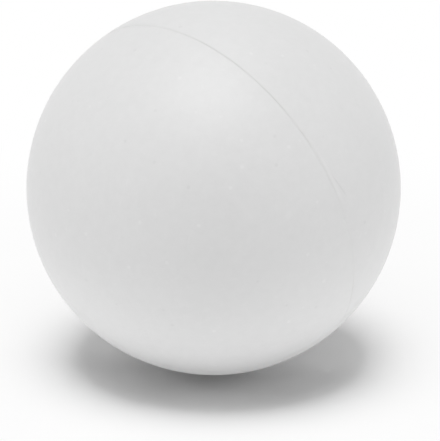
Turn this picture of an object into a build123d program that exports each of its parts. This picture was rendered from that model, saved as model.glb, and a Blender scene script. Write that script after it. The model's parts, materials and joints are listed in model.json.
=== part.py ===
from build123d import *

import os
from math import asin, degrees, sqrt

# A lacrosse ball: solid rubber, pressed and cured in a mould of two plates.
# The origin is the centre of the ball. +Z is up as it lies, and -Y is the side it is seen from.
# The parting plane of the mould passes through the centre and leans as the line on the ball does.

# Driving dimensions, in millimetres and degrees
BALL_DIAMETER = 63.5  # 199.5 mm round, in the game's 197 to 203 mm
BELT_WIDTH = 1.7  # belt along the parting line, where the trimming wheel ran
RIM_CHAMFER = 0.12  # edge of each half, where the worn lips of the two plates met
FLASH_THICKNESS = 0.14  # web of rubber squeezed out between the plates
FLASH_HEIGHT = 0.03  # stub of that web left above the belt by the trimming
MOULD_TILT = 76.2  # lean of the mould's axis from the vertical
MOULD_HEADING = 46.6  # direction of that lean, from +X towards +Y

# The round surface is cut back to a narrow belt at the parting line. The two chamfered rims
# meet at the bottom of a notch in that belt, and the flash stands in the notch.
ball_radius = BALL_DIAMETER / 2
belt_half_width = BELT_WIDTH / 2
belt_radius = sqrt(ball_radius**2 - belt_half_width**2)
belt_edge_angle = degrees(asin(belt_half_width / ball_radius))
quarter_turn = 90
notch_radius = belt_radius - RIM_CHAMFER
flash_half = FLASH_THICKNESS / 2
crest_radius = belt_radius + FLASH_HEIGHT

# The mould's axis, the plane where its plates meet, and a section plane through the axis:
# in the section, X is the distance from the axis and Y is the height above the parting plane.
mould_axis = Vector(0, 0, 1).rotate(Axis.Y, MOULD_TILT).rotate(Axis.Z, MOULD_HEADING)
mould_line = Axis((0, 0, 0), mould_axis)
parting_plane = Plane((0, 0, 0), z_dir=mould_axis)
section_plane = Plane(
    (0, 0, 0),
    x_dir=parting_plane.x_dir,
    z_dir=parting_plane.x_dir.cross(mould_axis),
)

# Rear half: from the parting face out to the rim, over the belt and round to the pole
with BuildPart() as rear_half:
    with BuildSketch(section_plane) as rear_section:
        with BuildLine() as rear_outline:
            Polyline(
                (0, ball_radius),
                (0, 0),
                (notch_radius, 0),
                (belt_radius, RIM_CHAMFER),
                (belt_radius, belt_half_width),
            )
            CenterArc(
                (0, 0),
                ball_radius,
                start_angle=belt_edge_angle,
                arc_size=quarter_turn - belt_edge_angle,
            )
        make_face()
    revolve(axis=mould_line)

# Front half: the same cavity in the other plate, meeting the rear half face to face
with BuildPart() as front_half:
    mirror(rear_half.part, about=parting_plane)

# Flash ring: a wedge seated on both chamfers, with the cut stub standing out of the notch
with BuildPart() as flash_ring:
    with BuildSketch(section_plane) as flash_section:
        with BuildLine() as flash_outline:
            Polyline(
                (notch_radius, 0),
                (notch_radius + flash_half, flash_half),
                (crest_radius, flash_half),
                (crest_radius, -flash_half),
                (notch_radius + flash_half, -flash_half),
                close=True,
            )
        make_face()
    revolve(axis=mould_line)

os.makedirs("parts", exist_ok=True)

front_half.part.label = "front_half"
export_step(front_half.part, "parts/front_half.step")

rear_half.part.label = "rear_half"
export_step(rear_half.part, "parts/rear_half.step")

flash_ring.part.label = "flash_ring"
export_step(flash_ring.part, "parts/flash_ring.step")
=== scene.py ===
import json
from math import asin, atan2, degrees, pi, radians, sqrt, tan

import bmesh
import bpy
from mathutils import Matrix, Vector, noise


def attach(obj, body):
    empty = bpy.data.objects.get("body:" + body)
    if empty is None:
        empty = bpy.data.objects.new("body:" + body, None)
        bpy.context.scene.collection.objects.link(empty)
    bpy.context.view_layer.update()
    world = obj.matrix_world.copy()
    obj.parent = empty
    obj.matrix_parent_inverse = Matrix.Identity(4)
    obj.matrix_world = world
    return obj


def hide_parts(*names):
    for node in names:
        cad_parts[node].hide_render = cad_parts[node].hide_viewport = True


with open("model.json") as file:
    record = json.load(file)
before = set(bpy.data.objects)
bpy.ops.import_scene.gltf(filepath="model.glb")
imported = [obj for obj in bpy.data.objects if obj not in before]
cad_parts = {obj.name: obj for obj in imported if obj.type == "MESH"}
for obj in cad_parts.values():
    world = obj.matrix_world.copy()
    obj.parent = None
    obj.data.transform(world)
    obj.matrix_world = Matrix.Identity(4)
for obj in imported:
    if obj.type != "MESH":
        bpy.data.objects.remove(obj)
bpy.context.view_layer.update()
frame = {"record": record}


# Rear half: solid white rubber, pressed and cured in the far plate of a two-plate mould.
# It is one mass with the front half across the parting face, and the trimming wheel has buffed its
# rim to a narrow belt. Its form is worked out in metres, and its finish in millimetres.
MILLIMETRE = 0.001
ball_radius = frame["record"]["mounts"][0]["dims"]["r_mm"] * MILLIMETRE
belt_half_width = 0.85 * MILLIMETRE
rim_chamfer = 0.12 * MILLIMETRE
rim_softness = 0.04 * MILLIMETRE
belt_radius = sqrt(ball_radius**2 - belt_half_width**2)
belt_edge_angle = asin(belt_half_width / ball_radius)
notch_radius = belt_radius - rim_chamfer
hair = 1e-7

# The mould's own axes: x runs up to the top of the parting line, y to the side where the line comes
# down in front, and z is the axis of the mould, towards the rear half.
MOULD_TILT = radians(76.2)
MOULD_HEADING = radians(46.6)
mould = (
    Matrix.Rotation(MOULD_HEADING, 4, "Z")
    @ Matrix.Rotation(MOULD_TILT, 4, "Y")
    @ Matrix.Rotation(pi, 4, "Z")
)

ROUND_STEPS = 72
TURN_STEPS = 256
RIM_SEGMENTS = 3
SHARP_ANGLE = radians(35)
swell_height = 0.012 * MILLIMETRE
swell_length = 11 * MILLIMETRE
swell_starts = 2.5 * MILLIMETRE


def settle(point):
    """Moves a point of the round surface by the slow unevenness that cooling leaves in rubber."""
    away = min(abs(point.z) / swell_starts, 1.0)
    lift = noise.noise(point / swell_length) * swell_height * away**2
    return point + point.normalized() * lift


def pressed_half(side):
    """A closed half, spun round the mould's axis: parting face, chamfered rim, belt, round surface."""
    half = bmesh.new()
    outline = [
        half.verts.new(corner)
        for corner in (
            (0, 0, 0),
            (notch_radius, 0, 0),
            (belt_radius, 0, rim_chamfer),
            (belt_radius, 0, belt_half_width),
        )
    ]
    for near, far in zip(outline, outline[1:]):
        half.edges.new((near, far))
    bmesh.ops.spin(
        half,
        geom=outline[-1:],
        axis=(0, -1, 0),
        cent=(0, 0, 0),
        angle=pi / 2 - belt_edge_angle,
        steps=ROUND_STEPS,
    )
    bmesh.ops.spin(
        half,
        geom=half.verts[:] + half.edges[:],
        axis=(0, 0, 1),
        cent=(0, 0, 0),
        angle=2 * pi,
        steps=TURN_STEPS,
        use_merge=True,
    )
    bmesh.ops.remove_doubles(half, verts=half.verts, dist=hair)
    rim = [
        edge
        for edge in half.edges
        if all(abs(v.co.z - rim_chamfer) < hair and v.co.xy.length > notch_radius for v in edge.verts)
    ]
    bmesh.ops.bevel(
        half,
        geom=rim,
        offset=rim_softness,
        segments=RIM_SEGMENTS,
        profile=0.5,
        affect="EDGES",
        material=-1,
    )
    for vertex in half.verts:
        if vertex.co.z > belt_half_width:
            vertex.co = settle(vertex.co)
    bmesh.ops.scale(half, vec=(1, 1, side), verts=half.verts)
    return half


def show(shape, name, material, node):
    """Makes a shape a finished piece of the ball, which stands for a node of the frame."""
    bmesh.ops.remove_doubles(shape, verts=shape.verts, dist=hair)
    bmesh.ops.recalc_face_normals(shape, faces=shape.faces)
    bmesh.ops.transform(shape, matrix=mould, verts=shape.verts)
    mesh = bpy.data.meshes.new(name)
    shape.to_mesh(mesh)
    shape.free()
    mesh.shade_smooth()
    mesh.set_sharp_from_angle(angle=SHARP_ANGLE)
    mesh.materials.append(material)
    piece = bpy.data.objects.new(name, mesh)
    bpy.context.scene.collection.objects.link(piece)
    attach(piece, "root")
    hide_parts(node)


class Shade:
    """A socket in a node tree. Arithmetic on shades adds Math nodes to that tree."""

    def __init__(self, tree, socket=None):
        self.tree = tree
        self.socket = socket

    def node(self, kind, settings=None, inputs=None, output=0):
        """Adds a node of any kind: its settings first, then the values or links of its sockets."""
        made = self.tree.nodes.new(kind)
        for name, value in (settings or {}).items():
            setattr(made, name, value)
        for name, value in (inputs or {}).items():
            if isinstance(value, Shade):
                self.tree.links.new(value.socket, made.inputs[name])
            else:
                made.inputs[name].default_value = value
        return Shade(self.tree, made.outputs[output])

    def maths(self, operation, *operands):
        return self.node("ShaderNodeMath", {"operation": operation}, dict(enumerate(operands)))

    def __add__(self, other):
        return self.maths("ADD", self, other)

    def __radd__(self, other):
        return self.maths("ADD", other, self)

    def __sub__(self, other):
        return self.maths("SUBTRACT", self, other)

    def __rsub__(self, other):
        return self.maths("SUBTRACT", other, self)

    def __mul__(self, other):
        return self.maths("MULTIPLY", self, other)

    def __abs__(self):
        return self.maths("ABSOLUTE", self)

    def part(self, index):
        """One number of a place, or of a colour taken as a place."""
        return self.node("ShaderNodeSeparateXYZ", None, {0: self}, output=index)

    def stretched(self, scale):
        """A place with each of its numbers multiplied."""
        return self.node("ShaderNodeMapping", None, {"Vector": self, "Scale": scale})

    def distance(self):
        """How far a place is from the origin."""
        return self.node("ShaderNodeVectorMath", {"operation": "LENGTH"}, {0: self}, output="Value")

    def rising(self, span, step="SMOOTHSTEP"):
        """0 before the span and 1 past it, with a soft step over it, or a straight one."""
        start, end = span
        return self.node(
            "ShaderNodeMapRange",
            {"interpolation_type": step},
            {"Value": self, "From Min": start, "From Max": end},
        )

    def falling(self, span):
        """1 before the span and 0 past it, with a soft step over it."""
        return 1 - self.rising(span)

    def grain(self, length, detail=2.0):
        """Noise from about -0.5 to 0.5 at a length, where this shade is a place."""
        found = self.node(
            "ShaderNodeTexNoise",
            None,
            {"Vector": self, "Scale": 1 / length, "Detail": detail},
        )
        return found - 0.5

    def blend(self, colour, other):
        """One colour where this shade is 0 and the other where it is 1."""
        return self.node(
            "ShaderNodeMix",
            {"data_type": "RGBA"},
            {0: self, 6: colour, 7: other},
            output=2,
        )


def rubber(name):
    """A new material, with its surface shader and the place on the ball in mm, along the mould's axes."""
    material = bpy.data.materials.new(name)
    material.use_nodes = True
    tree = material.node_tree
    place = Shade(tree).node("ShaderNodeTexCoord", output="Object")
    place = place.node(
        "ShaderNodeMapping",
        None,
        {
            "Vector": place,
            "Rotation": mould.inverted().to_euler("XYZ"),
            "Scale": (1 / MILLIMETRE,) * 3,
        },
    )
    return material, tree.nodes["Principled BSDF"], place


def finish(surface, colour, roughness, relief):
    """Gives a surface its colour, its roughness and a relief in mm."""
    bump = relief.node("ShaderNodeBump", None, {"Height": relief, "Distance": MILLIMETRE, "Strength": 1.0})
    for name, shade in (("Base Color", colour), ("Roughness", roughness), ("Normal", bump)):
        relief.tree.links.new(shade.socket, surface.inputs[name])


white_rubber, surface, place = rubber("white_rubber")
RUBBER_DARK = (0.70, 0.70, 0.70, 1)
RUBBER_LIGHT = (0.90, 0.90, 0.90, 1)
RUBBER_TONE = 0.5
RUBBER_ROUGHNESS = 0.42

# Filler in the compound, cloudy at every length
CLOUD_LENGTH = 9.0
CLOUD_TONE = 0.10
CLOUD_ROUGHNESS = 0.10
MOTTLE_LENGTH = 1.6
MOTTLE_DETAIL = 4.0
MOTTLE_TONE = 0.20
MOTTLE_ROUGHNESS = 0.08
PORE_LENGTH = 0.45
PORE_TONE = 0.09
PORE_ROUGHNESS = 0.08
PORE_DEPTH = 0.003
cloud = place.grain(CLOUD_LENGTH)
mottle = place.grain(MOTTLE_LENGTH, MOTTLE_DETAIL)
pore = place.grain(PORE_LENGTH)
tone = RUBBER_TONE + cloud * CLOUD_TONE + mottle * MOTTLE_TONE + pore * PORE_TONE
roughness = (
    RUBBER_ROUGHNESS + cloud * CLOUD_ROUGHNESS + mottle * MOTTLE_ROUGHNESS + pore * PORE_ROUGHNESS
)

# Grains of that filler scattered at the surface, more of them pale than dark
SPECK_SPACING = 3.4
SPECK_EDGE = (0.16, 0.46)
SPECK_TONE = 0.34
DARK_TO_PALE = (0.38, 0.48)
speck_inputs = {"Vector": place, "Scale": 1 / SPECK_SPACING}
speck_distance = place.node("ShaderNodeTexVoronoi", None, speck_inputs, output="Distance") * SPECK_SPACING
speck_kind = place.node("ShaderNodeTexVoronoi", None, speck_inputs, output="Color").part(0)
speck_shade = speck_kind.rising(DARK_TO_PALE) - 0.5
tone = tone + speck_distance.falling(SPECK_EDGE) * speck_shade * SPECK_TONE

# Faint pale scuffs from handling
SCUFF_SCALE = (0.15, 1.1, 0.5)
SCUFF_SPAN = (0.14, 0.30)
SCUFF_TONE = 0.06
SCUFF_ROUGHNESS = 0.08
scuff = place.stretched(SCUFF_SCALE).grain(1.0).rising(SCUFF_SPAN)
tone = tone + scuff * SCUFF_TONE
roughness = roughness + scuff * SCUFF_ROUGHNESS

# The buffed belt: scored round the ball by the wheel, a little duller than the moulded skin
BELT_EDGE = (0.70, 0.95)
BELT_ROUGHNESS = 0.12
SCORE_SCALE = (0.12, 0.12, 14.0)
SCORE_TONE = 0.10
SCORE_DEPTH = 0.005
across = place.part(2)
belt = abs(across).falling(BELT_EDGE)
score = belt * place.stretched(SCORE_SCALE).grain(1.0)
tone = tone + score * SCORE_TONE
roughness = roughness + belt * BELT_ROUGHNESS

# Painted shade beside the flash: the belt is darkened along the upper arc of the parting line, where the
# seam shades darkest under light from above. A place on the line is told by its turn in degrees from the
# line's top.
LINE_SHADE_EDGE = (0.12, 0.42)
LINE_SHADE_STARTS = (-30, 0)
LINE_SHADE_ENDS = (62, 76)
LINE_SHADE_TONE = 0.10
turn = place.maths("ARCTAN2", place.part(1), place.part(0)) * degrees(1)
line_shade = abs(across).falling(LINE_SHADE_EDGE) * turn.rising(LINE_SHADE_STARTS) * turn.falling(LINE_SHADE_ENDS)
# Painted shade along the upper arc of the line
tone = tone - line_shade * LINE_SHADE_TONE

# A hairline crease on the rear half, where the rubber folded as it filled the mould: a shallow dent with a
# painted shadow line darkened along it. It leaves the parting line at a low angle and fades out
CREASE_ROOT = 62.0
CREASE_SLOPE = 0.13
CREASE_EDGE = (0.05, 0.24)
CREASE_STARTS = (65, 71)
CREASE_ENDS = (74, 77)
CREASE_SHADOW_TONE = 0.19
CREASE_DEPTH = 0.010
off_crease = abs(across - (turn - CREASE_ROOT) * CREASE_SLOPE)
crease_and_shadow = off_crease.falling(CREASE_EDGE) * turn.rising(CREASE_STARTS) * turn.falling(CREASE_ENDS)
# Painted shadow line along the crease
tone = tone - crease_and_shadow * CREASE_SHADOW_TONE

# The strip between the crease and the line, painted paler as the highlight on a raised lip of the belt
STRIP_NEAR_EDGE = (0.12, 0.35)
STRIP_FAR_EDGE = (0.60, 0.90)
STRIP_STARTS = (56, 64)
STRIP_ENDS = (74, 78)
STRIP_HIGHLIGHT_TONE = 0.09
strip_highlight = across.rising(STRIP_NEAR_EDGE) * across.falling(STRIP_FAR_EDGE)
strip_highlight = strip_highlight * turn.rising(STRIP_STARTS) * turn.falling(STRIP_ENDS)
# Painted highlight along the strip
tone = tone + strip_highlight * STRIP_HIGHLIGHT_TONE

# The grain of the blasted mould and the slow dimpling of the skin over it
PEEL_LENGTH = 2.6
PEEL_DEPTH = 0.030
BLAST_LENGTH = 0.22
BLAST_DEPTH = 0.006
blast = (1 - belt) * place.grain(BLAST_LENGTH)
relief = place.grain(PEEL_LENGTH) * PEEL_DEPTH + blast * BLAST_DEPTH + score * SCORE_DEPTH
relief = relief - pore * PORE_DEPTH - crease_and_shadow * CREASE_DEPTH
finish(surface, tone.blend(RUBBER_DARK, RUBBER_LIGHT), roughness, relief)

# The bloom: a fine powder that comes out of the rubber, dulls it, and lightens it where it is seen edge on
BLOOM = {"Specular IOR Level": 0.26, "Sheen Weight": 0.10, "Sheen Roughness": 0.35}
for name, value in BLOOM.items():
    surface.inputs[name].default_value = value

show(pressed_half(1), "rear_half_rubber", white_rubber, "rear_half")


# Front half: the same rubber from the near plate of the mould, cured to the rear half face to face.
# Its rim has the same chamfer and the same buffed belt.
show(pressed_half(-1), "front_half_rubber", white_rubber, "front_half")


# Flash ring: the web of rubber that was squeezed out between the plates, cut off close to the belt.
# It fills the notch between the two rims almost flush where the knife ran true. Where it was pulled
# thin, it stands proud between two fine grooves, and its rubber is darkened there, partly as dirt and
# partly as painted shade of the grooves.
thin_half = 0.076 * MILLIMETRE
thin_height = 0.022 * MILLIMETRE
full_half = 0.118 * MILLIMETRE
full_height = 0.001 * MILLIMETRE
ragged_share = 0.30
ragged_length = 0.9 * MILLIMETRE
FLASH_STEPS = 720

# How thin the web was pulled, from 0 to 1, by the turn in degrees from the top of the parting line; it
# also sets how far the flash is darkened with dirt and painted shade
TRIM = (
    (-180, 0.30), (-150, 0.75), (-120, 0.20), (-92, 0.55), (-60, 0.35), (-28, 0.22), (-20, 0.02),
    (-12, 0.18), (-4, 0.48), (4, 0.75), (10, 0.82), (17, 0.58), (22, 1.00), (30, 0.50), (38, 0.98),
    (42, 0.88), (46, 0.28), (54, 0.68), (58, 0.14), (63, 0.36), (70, 0.38), (77, 0.02), (103, 0.00),
    (110, 0.45), (118, 0.04), (130, 0.05), (150, 0.50), (180, 0.30),
)


def thinness(point):
    """How thin the web was pulled at a point of the ring, with the ragged run of the knife."""
    turn = degrees(atan2(point.y, point.x))
    start, near = max(stop for stop in TRIM if stop[0] <= turn)
    end, far = min(stop for stop in TRIM if stop[0] >= turn)
    way = (turn - start) / max(end - start, hair)
    thin = near + (far - near) * way * way * (3 - 2 * way)
    ragged = noise.noise(Vector((point.x, point.y, 0)) / ragged_length) * ragged_share
    return min(max(thin * (1 + ragged), 0.0), 1.0)


flash = bmesh.new()
thin_layer = flash.verts.layers.float.new("thinness")
web = [
    flash.verts.new(corner)
    for corner in (
        (notch_radius, 0, 0),
        (notch_radius + thin_half, 0, thin_half),
        (belt_radius + thin_height, 0, thin_half),
        (belt_radius + thin_height, 0, -thin_half),
        (notch_radius + thin_half, 0, -thin_half),
    )
]
for near, far in zip(web, web[1:] + web[:1]):
    flash.edges.new((near, far))
bmesh.ops.spin(
    flash,
    geom=flash.verts[:] + flash.edges[:],
    axis=(0, 0, 1),
    cent=(0, 0, 0),
    angle=2 * pi,
    steps=FLASH_STEPS,
    use_merge=True,
)
for vertex in flash.verts:
    thin = thinness(vertex.co)
    vertex[thin_layer] = thin
    half_width = full_half + (thin_half - full_half) * thin
    height = full_height + (thin_height - full_height) * thin
    outward = vertex.co.xy.normalized()
    if vertex.co.xy.length > belt_radius:
        outward *= belt_radius + height
    elif abs(vertex.co.z) > hair:
        outward *= notch_radius + half_width
    else:
        outward *= notch_radius
    vertex.co = (*outward, vertex.co.z / thin_half * half_width)

cut_rubber, surface, place = rubber("cut_rubber")
CUT_CLEAN = (0.80, 0.80, 0.80, 1)
CUT_DIRT_AND_SHADE = (0.73, 0.73, 0.72, 1)
CUT_ROUGHNESS = 0.70
DIRT_AND_SHADE_SHARE = 0.75
TORN_LENGTH = 0.5
TORN_DIRT_AND_SHADE = 0.8
TORN_DEPTH = 0.006
TORN_ROUGHNESS = 0.15
SHRED_LENGTH = 0.12
SHRED_DEPTH = 0.003
pulled = place.node("ShaderNodeAttribute", {"attribute_name": "thinness"}, output="Fac")
torn = place.grain(TORN_LENGTH)
# Darker where the web was pulled thin: partly dirt, partly painted shade of the grooves beside the flash
dirt_and_shade = pulled * (DIRT_AND_SHADE_SHARE + torn * TORN_DIRT_AND_SHADE)
roughness = CUT_ROUGHNESS + torn * TORN_ROUGHNESS
relief = torn * TORN_DEPTH + place.grain(SHRED_LENGTH) * SHRED_DEPTH
finish(surface, dirt_and_shade.blend(CUT_CLEAN, CUT_DIRT_AND_SHADE), roughness, relief)

show(flash, "trimmed_flash", cut_rubber, "flash_ring")


# Floor: a white table top, lit so brightly that it is almost plain white to the camera away from the
# ball. Near the ball it holds the shadow, which the camera sees inside a painted oval whose glow clears it
# from a plain edge outwards, with painted light behind the ball and at its foot. Places and spans on the
# floor are in ball radii.
PAPER = 0.98
FLOOR_REACH = 4.0
SHADOW_SHIFT = 0.036
SHADOW_OVAL = 1.13
SHADOW_FADE = (0.755, 1.32)
CLEARED_SHARE = 0.823
FAR_FADE = (1.6, 3.4)
PAINTED_LEAK_SHARE = 0.105
PAINTED_LEAK_SLANT = 0.16
PAINTED_LEAK_SPAN = (-0.23, 0.09)
PAINTED_FOOT_SHARE = 0.019
PAINTED_FOOT_SPAN = (0.18, 0.42)

# The light that the table throws up at the ball. Near the foot, most of it counts only where the camera
# sees it on the ball, and isn't thrown back down into the shadow.
GLOW = 1.21
GLOW_SPAN = (0.68, 1.45)
LOW_GLOW_SHARE = 0.045
LOW_GLOW_SPAN = (0.20, 0.48)
FOOT_GLOW_SHARE = 0.42
FOOT_GLOW_SPAN = (0.45, 0.70)
FIRST_BOUNCE = (1.2, 1.8)


def seen_in(tree):
    """1 for what the camera sees, straight or in a reflection, and 0 for light that falls on the ball."""
    rays = Shade(tree)
    return (
        rays.node("ShaderNodeLightPath", output="Is Camera Ray")
        + rays.node("ShaderNodeLightPath", output="Is Glossy Ray")
        + rays.node("ShaderNodeLightPath", output="Is Transmission Ray")
    )


ground = bmesh.new()
bmesh.ops.create_grid(ground, x_segments=1, y_segments=1, size=FLOOR_REACH)
bmesh.ops.translate(ground, vec=(0, 0, -ball_radius), verts=ground.verts)
floor_mesh = bpy.data.meshes.new("floor")
ground.to_mesh(floor_mesh)
ground.free()
floor = bpy.data.objects.new("floor", floor_mesh)
bpy.context.scene.collection.objects.link(floor)

paper = bpy.data.materials.new("paper")
paper.use_nodes = True
tree = paper.node_tree
seen = seen_in(tree)
spot = seen.node("ShaderNodeTexCoord", output="Object")
spot = spot.node(
    "ShaderNodeMapping",
    None,
    {"Vector": spot, "Location": (-SHADOW_SHIFT, 0, 0), "Scale": (1 / ball_radius, 1 / ball_radius, 0)},
)
away = spot.distance()
oval = spot.stretched((1, SHADOW_OVAL, 1)).distance()
cleared = oval.rising(SHADOW_FADE, "LINEAR")
painted_leak = (spot.part(1) + spot.part(0) * PAINTED_LEAK_SLANT).rising(PAINTED_LEAK_SPAN)
# The glow the camera sees: the painted oval edge of the shadow, and painted light behind the ball and at
# its foot
seen_share = (
    cleared * (2 - cleared) * CLEARED_SHARE
    + oval.rising(FAR_FADE) * (1 - CLEARED_SHARE)
    + painted_leak * (1 - cleared) * PAINTED_LEAK_SHARE
    + away.falling(PAINTED_FOOT_SPAN) * PAINTED_FOOT_SHARE
)
first_bounce = seen.node("ShaderNodeLightPath", output="Ray Depth").falling(FIRST_BOUNCE)
thrown_share = (
    away.rising(GLOW_SPAN)
    + away.falling(LOW_GLOW_SPAN) * LOW_GLOW_SHARE
    + away.falling(FOOT_GLOW_SPAN) * first_bounce * FOOT_GLOW_SHARE
)
glow_share = thrown_share + seen * (seen_share - thrown_share)
lit = seen.node("ShaderNodeBsdfDiffuse", None, {"Color": (PAPER, PAPER, PAPER, 1)})
glow = seen.node("ShaderNodeEmission", None, {"Strength": GLOW + seen * (1 - GLOW)})
table = seen.node("ShaderNodeMixShader", None, {0: glow_share, 1: lit, 2: glow})
tree.links.new(table.socket, tree.nodes["Material Output"].inputs["Surface"])
floor_mesh.materials.append(paper)


# Light: a softbox over the ball, a key beside it in front and to the left, and a low fill at each side
# that leaves no highlight. The world is a faint even dome, and white to the camera.
def softbox(name, place, width, power, highlight):
    """A round lamp that faces the ball, and that the camera doesn't see."""
    lamp = bpy.data.lights.new(name, "AREA")
    lamp.shape = "DISK"
    lamp.size = width
    lamp.energy = power
    holder = bpy.data.objects.new(name, lamp)
    holder.location = place
    holder.rotation_euler = (-holder.location).to_track_quat("-Z", "Y").to_euler()
    holder.visible_camera = False
    holder.visible_glossy = highlight
    bpy.context.scene.collection.objects.link(holder)


softbox("key", place=(-0.045, -0.14, 0.6), width=0.48, power=1.88, highlight=True)
softbox("overhead", place=(0, 0, 0.6), width=0.6, power=1.09, highlight=True)
softbox("left", place=(-0.85, 0, 0.33), width=0.4, power=0.89, highlight=False)
softbox("right", place=(0.85, 0, 0.33), width=0.4, power=1.06, highlight=False)

DOME = 0.147
studio = bpy.data.worlds.new("studio")
bpy.context.scene.world = studio
studio.use_nodes = True
tree = studio.node_tree
sky = tree.nodes["Background"]
sky.inputs["Color"].default_value = (1, 1, 1, 1)
strength = DOME + seen_in(tree) * (1 - DOME)
tree.links.new(strength.socket, sky.inputs["Strength"])


# Camera: level with its own horizon, looking down on the ball from in front.
# The ball's place and size in the frame are the photograph's.
FRAME_WIDTH = 440
FRAME_HEIGHT = 441
BALL_AT = Vector((213.6, 187.85))
BALL_RADIUS_PX = 187.2
CAMERA_ELEVATION = radians(24)
CAMERA_DISTANCE = 2.0

view = bpy.data.cameras.new("camera")
eye = bpy.data.objects.new("camera", view)
bpy.context.scene.collection.objects.link(eye)
bpy.context.scene.camera = eye
view.lens = (
    view.sensor_width * BALL_RADIUS_PX / FRAME_HEIGHT / tan(asin(ball_radius / CAMERA_DISTANCE))
)
pixel = ball_radius / BALL_RADIUS_PX
eye.rotation_euler = (pi / 2 - CAMERA_ELEVATION, 0, 0)
turned = eye.rotation_euler.to_matrix()
aim = turned @ Vector((FRAME_WIDTH / 2 - BALL_AT.x, BALL_AT.y - FRAME_HEIGHT / 2, 0)) * pixel
eye.location = aim + turned @ Vector((0, 0, CAMERA_DISTANCE))

bpy.context.scene.view_settings.view_transform = "Standard"
